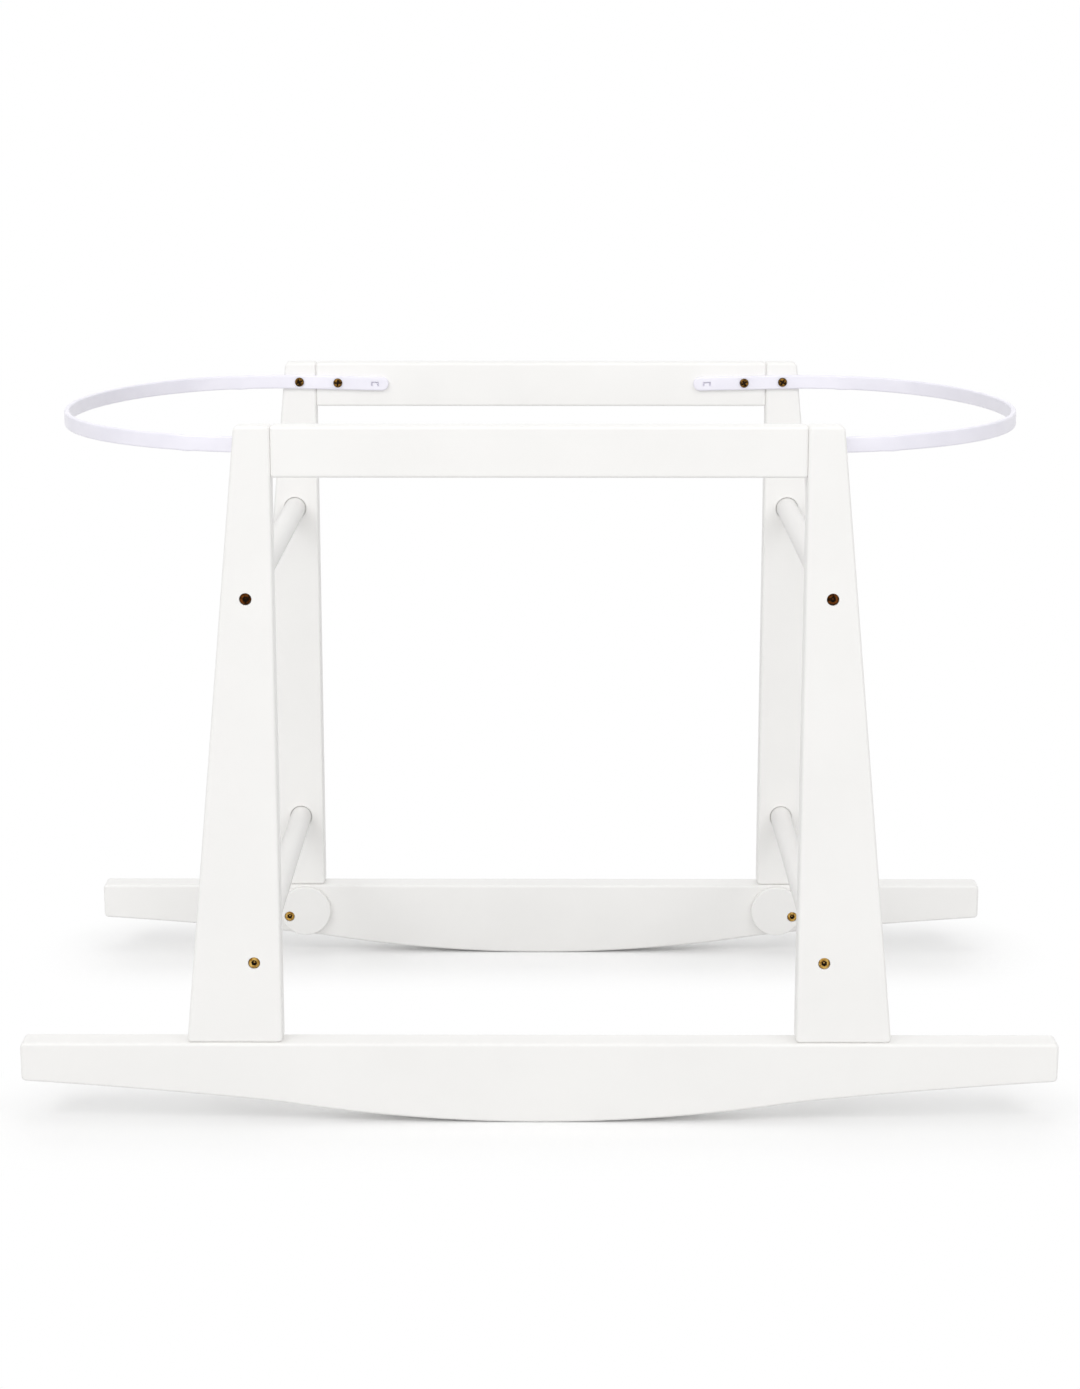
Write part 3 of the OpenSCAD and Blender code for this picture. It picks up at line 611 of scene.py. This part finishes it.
# The cross recess is cut with the dark steel: painted shade inside it, and the finish's dark lacquer
for arm in ((CROSS_L, CROSS_W), (CROSS_W, CROSS_L)):
    recess = block("recess", (0, 0, DOME_H), (*arm, 2 * CROSS_DEPTH))
    recess.data.materials.append(dark_steel_and_shade)
    cut(hoop_screw, recess)
for frame_name, y in (("front", -1), ("back", 1)):
    places = []
    for x in (-1, 1):
        for along in SCREW_PLACES:
            z = HOOP_Z + along * math.sin(HOOP_RISE)
            place = (x * (LEG_X + along * math.cos(HOOP_RISE)), y * (BOARD_IN_Y - HOOP_T), z)
            places.append((place, (0, -y, 0), SCREW_TURN + SCREW_TURN_STEP * len(places)))
    screws = set_in(hoop_screw, frame_name + "_strap_screws", places)
    complete(screws, antique, "stand", frame_name + "_hoop_screws")
bpy.data.objects.remove(hoop_screw)

# Dowel pins and threaded inserts: the hidden fixings. Beech pins are glued between rails, legs and rockers,
# and zinc-plated sleeves in the crossbar ends and rockers take the bolts and stop screws.


def bare_beech(name):
    """Beech, turned and left bare: a warm pale brown with fine darker flecks, quite dull."""
    material, tree, wood, place = blank_material(name)
    # Flecks 0.6 mm wide
    fleck = add_node(tree, "ShaderNodeTexNoise", {"Scale": 1 / 0.0006, "Detail": 3.0}, {"Vector": place})
    tint = add_node(tree, "ShaderNodeValToRGB", {}, {"Fac": fleck.outputs["Fac"]})
    tint.color_ramp.elements[0].color = linear("#B98E5E")
    tint.color_ramp.elements[1].color = linear("#DDBB8C")
    tree.links.new(tint.outputs["Color"], wood.inputs["Base Color"])
    bump = add_node(
        tree, "ShaderNodeBump", {"Strength": 0.2, "Distance": 0.0001}, {"Height": fleck.outputs["Fac"]}
    )
    tree.links.new(bump.outputs["Normal"], wood.inputs["Normal"])
    wood.inputs["Roughness"].default_value = 0.6
    return material


beech = bare_beech("bare_beech")
zinc = plated_metal("zinc_plated_steel", "#9A9DA0", "#C4C7CA", 0.3, 0.45)
for node, material in (
    ("rail_pins", beech),
    ("leg_pins", beech),
    ("crossbar_inserts", zinc),
    ("stop_inserts", zinc),
):
    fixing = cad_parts[node]
    fixing.data.materials.clear()
    fixing.data.materials.append(material)

# Studio: a pale floor that runs into a white backdrop, a soft light overhead, a softbox on each side, wide
# daylight from the front and the back, dark flags at the sides, and the camera at the photograph's place.
# None of it belongs to the stand.
FLOOR_SIZE, FADE_START, FADE_END = 60, 0.01, 0.12
FLOOR_GREY, STUDIO_WHITE = "#DDDDDD", "#FFFFFF"
# Half length of the rockers' shadows on the floor, and how far out they lie
SHADOW_LINE = (0.34, 0.20, 0)
WORLD_OPEN, WORLD_FLAGGED = 0.70, 0.27
LAMP_AIM = Vector((0, 0, 0.25))
CAMERA_PLACE, CAMERA_LENS, CAMERA_SENSOR = (0.00787, -2.19274, 0.79155), 72.72, 36
CAMERA_PITCH, CAMERA_TURN = 13.115, 0.208


def seen_directly(tree):
    """One for what the camera, a mirror or a glass looks at, and nought for light that bounces."""
    path = add_node(tree, "ShaderNodeLightPath").outputs
    seen = path["Is Camera Ray"]
    for ray in ("Is Glossy Ray", "Is Transmission Ray"):
        node = add_node(tree, "ShaderNodeMath", {"operation": "MAXIMUM"}, {0: seen, 1: path[ray]})
        seen = node.outputs["Value"]
    return seen


bpy.ops.object.select_all(action="DESELECT")
bpy.ops.mesh.primitive_plane_add(size=FLOOR_SIZE, location=(0, 0, 0))
floor = settle("studio_floor")
sweep = bpy.data.materials.new("white_studio_floor")
sweep.use_nodes = True
tree = sweep.node_tree
tree.nodes.clear()
seen = seen_directly(tree)
dull = add_node(tree, "ShaderNodeBsdfDiffuse", {"Color": linear(FLOOR_GREY)})
matt = add_node(tree, "ShaderNodeBsdfDiffuse", {"Color": linear(STUDIO_WHITE)})
near = add_node(
    tree, "ShaderNodeMixShader", {}, {0: seen, 1: dull.outputs["BSDF"], 2: matt.outputs["BSDF"]}
)
# The floor turns to plain white from 10 to 120 mm away from those shadows' middle lines. The distance along X
# counts only past their ends, and the distance along Y counts both ways.
place = add_node(tree, "ShaderNodeTexCoord").outputs["Object"]
place = add_node(tree, "ShaderNodeVectorMath", {"operation": "ABSOLUTE"}, {0: place}).outputs["Vector"]
for operation, amount in (("SUBTRACT", SHADOW_LINE), ("MAXIMUM", (0, -1, 0))):
    place = add_node(
        tree, "ShaderNodeVectorMath", {"operation": operation, 1: amount}, {0: place}
    ).outputs["Vector"]
distance = add_node(tree, "ShaderNodeVectorMath", {"operation": "LENGTH"}, {0: place})
fade = add_node(
    tree,
    "ShaderNodeMapRange",
    {"interpolation_type": "SMOOTHSTEP", "From Min": FADE_START, "From Max": FADE_END},
    {"Value": distance.outputs["Value"]},
)
far = add_node(
    tree, "ShaderNodeMath", {"operation": "MULTIPLY"}, {0: fade.outputs["Result"], 1: seen}
)
glow = add_node(tree, "ShaderNodeEmission", {"Color": linear(STUDIO_WHITE), "Strength": 1.0})
mix = add_node(
    tree,
    "ShaderNodeMixShader",
    {},
    {0: far.outputs["Value"], 1: near.outputs["Shader"], 2: glow.outputs["Emission"]},
)
add_node(tree, "ShaderNodeOutputMaterial", {}, {"Surface": mix.outputs["Shader"]})
floor.data.materials.append(sweep)

world = bpy.data.worlds.new("white_studio")
bpy.context.scene.world = world
world.use_nodes = True
tree = world.node_tree
# Dark flags stand on both sides, so that the boards' edges show against the white
facing = add_node(tree, "ShaderNodeTexCoord").outputs["Generated"]
facing = add_node(tree, "ShaderNodeSeparateXYZ", {}, {"Vector": facing})
aside = add_node(
    tree, "ShaderNodeMath", {"operation": "MULTIPLY"}, {0: facing.outputs["X"], 1: facing.outputs["X"]}
)
flagged = add_node(
    tree,
    "ShaderNodeMapRange",
    {"To Min": WORLD_OPEN, "To Max": WORLD_FLAGGED},
    {"Value": aside.outputs["Value"]},
)
level = add_node(
    tree,
    "ShaderNodeMapRange",
    {"To Max": 1.0},
    {"Value": seen_directly(tree), "To Min": flagged.outputs["Result"]},
)
background = tree.nodes["Background"]
background.inputs["Color"].default_value = linear(STUDIO_WHITE)
tree.links.new(level.outputs["Result"], background.inputs["Strength"])

# Each lamp has its kind, its place, its width or the angle that it fills, and its power
for name, kind, place, size, power in (
    ("overhead", "AREA", (0.0, 0.0, 2.4), 1.2, 4.0),
    ("left_softbox", "AREA", (-1.3, -1.3, 1.7), 0.9, 7.4),
    ("right_softbox", "AREA", (1.3, -1.3, 1.7), 0.9, 6.3),
    ("front_daylight", "SUN", (-0.3, -3.0, 1.19), math.radians(56), 0.76),
    ("back_daylight", "SUN", (0.0, 3.0, 1.9), math.radians(60), 0.46),
):
    lamp = bpy.data.lights.new(name, kind)
    if kind == "AREA":
        lamp.size = size
    else:
        lamp.angle = size
    lamp.energy = power
    source = bpy.data.objects.new(name, lamp)
    bpy.context.scene.collection.objects.link(source)
    source.location = place
    # The low light from the back would mirror in the flat tops and burn them out
    source.visible_glossy = name != "back_daylight"
    source.rotation_euler = (LAMP_AIM - Vector(place)).to_track_quat("-Z", "Y").to_euler()

camera_data = bpy.data.cameras.new("photo_camera")
camera_data.lens = CAMERA_LENS
camera_data.sensor_width = CAMERA_SENSOR
camera = bpy.data.objects.new("photo_camera", camera_data)
bpy.context.scene.collection.objects.link(camera)
camera.location = CAMERA_PLACE
camera.rotation_euler = (math.radians(90 - CAMERA_PITCH), 0, math.radians(CAMERA_TURN))
bpy.context.scene.camera = camera
bpy.context.scene.view_settings.view_transform = "Standard"
